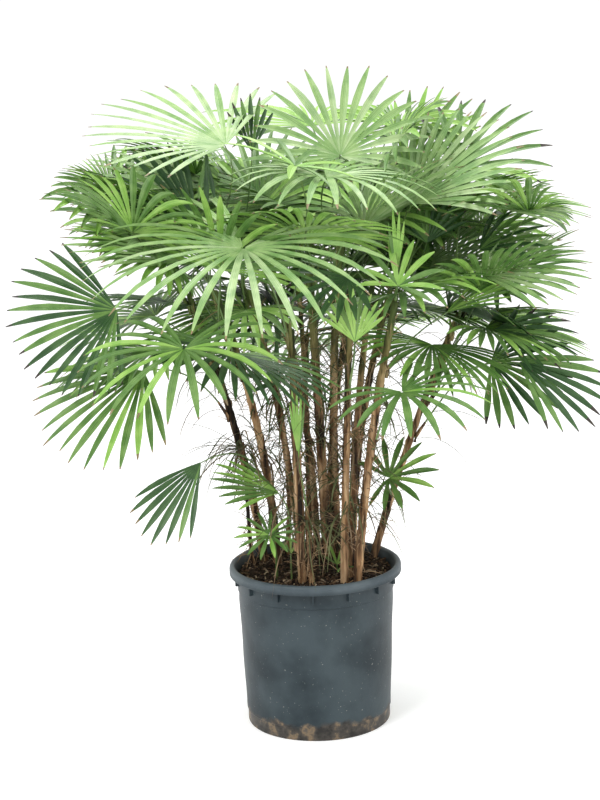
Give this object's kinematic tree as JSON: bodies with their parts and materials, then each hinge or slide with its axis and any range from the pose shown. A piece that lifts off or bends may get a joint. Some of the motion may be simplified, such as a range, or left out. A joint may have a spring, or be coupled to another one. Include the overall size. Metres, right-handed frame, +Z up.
{
  "type": "potted rhapis multifida palm",
  "caption": "Clumping fan palm with slender fibrous canes and finely divided palmate fronds, standing in a round nursery pot with a finned rim.",
  "frame": {"origin": "middle of the pot's flat underside, where the pot stands on the floor", "axes": "+Z up from the floor to the top of the crown, +X to the right and +Y to the back for someone who faces the plant's front"},
  "size_m": [1.521, 1.4183, 1.7097],
  "materials": {
    "pot_plastic": "matt dark grey moulded plastic with scuffs, dusty and crusted at its foot",
    "soil": "coarse moist bark and peat",
    "cane_fibre": "rough woven brown fibre with tan strips",
    "leaf_green": "satin leaf, mid green",
    "leaf_sage": "satin leaf, pale sage green",
    "leaf_dark": "satin leaf, dark bluish green",
    "leaf_young": "satin leaf, bright yellow-green"
  },
  "bodies": {
    "root": {"pot": "pot_plastic", "soil": "soil", "cane_front_left": "cane_fibre", "cane_front_shoot": "cane_fibre", "cane_middle": "cane_fibre", "cane_middle_left": "cane_fibre", "cane_middle_right": "cane_fibre", "cane_front_middle": "cane_fibre", "cane_inner_right": "cane_fibre", "cane_front_right": "cane_fibre", "cane_right_leaning": "cane_fibre", "cane_left": "cane_fibre", "cane_left_outer": "cane_fibre", "cane_dark_leaning": "cane_fibre", "cane_back_thin": "cane_fibre", "cane_back": "cane_fibre", "cane_back_right": "cane_fibre", "cane_thin_left": "cane_fibre", "cane_thin_back": "cane_fibre", "fronds_front_left_top": "leaf_sage", "fronds_middle_top": "leaf_sage", "fronds_left_top": "leaf_sage", "fronds_left_outer_top": "leaf_dark", "fronds_left_middle": "leaf_green", "fronds_left_outer_middle": "leaf_green", "fronds_left_low": "leaf_green", "fronds_front_middle_top": "leaf_sage", "fronds_front_middle": "leaf_young", "fronds_front_right_tip": "leaf_young", "fronds_front_right_middle": "leaf_green", "fronds_front_right_low": "leaf_green", "fronds_inner_right_top": "leaf_sage", "fronds_back_right_top": "leaf_green", "fronds_right_leaning_top": "leaf_sage", "fronds_right_leaning_middle": "leaf_dark", "fronds_right_leaning_low": "leaf_dark", "fronds_right_leaning_foot": "leaf_green", "fronds_dark_leaning_top": "leaf_dark", "fronds_front_left_middle": "leaf_dark", "fronds_front_left_low": "leaf_green", "fronds_shoot_tip": "leaf_young", "sucker_left": "leaf_young", "sucker_middle": "leaf_young", "sucker_front": "leaf_young", "fronds_back_upper": "leaf_green", "fronds_back_lower": "leaf_dark", "fronds_back_thin_upper": "leaf_green", "fronds_back_thin_lower": "leaf_dark", "fronds_middle_left_upper": "leaf_green", "fronds_middle_left_lower": "leaf_dark", "fronds_back_right_upper": "leaf_green", "fronds_back_right_lower": "leaf_dark", "fronds_middle_right_upper": "leaf_green", "fronds_middle_right_lower": "leaf_dark", "fronds_dark_leaning_upper": "leaf_green", "fronds_dark_leaning_lower": "leaf_dark", "fronds_left_outer_upper": "leaf_green", "fronds_left_outer_lower": "leaf_dark", "fronds_right_leaning_upper": "leaf_green", "fronds_right_leaning_lower": "leaf_dark"}
  },
  "joints": []
}
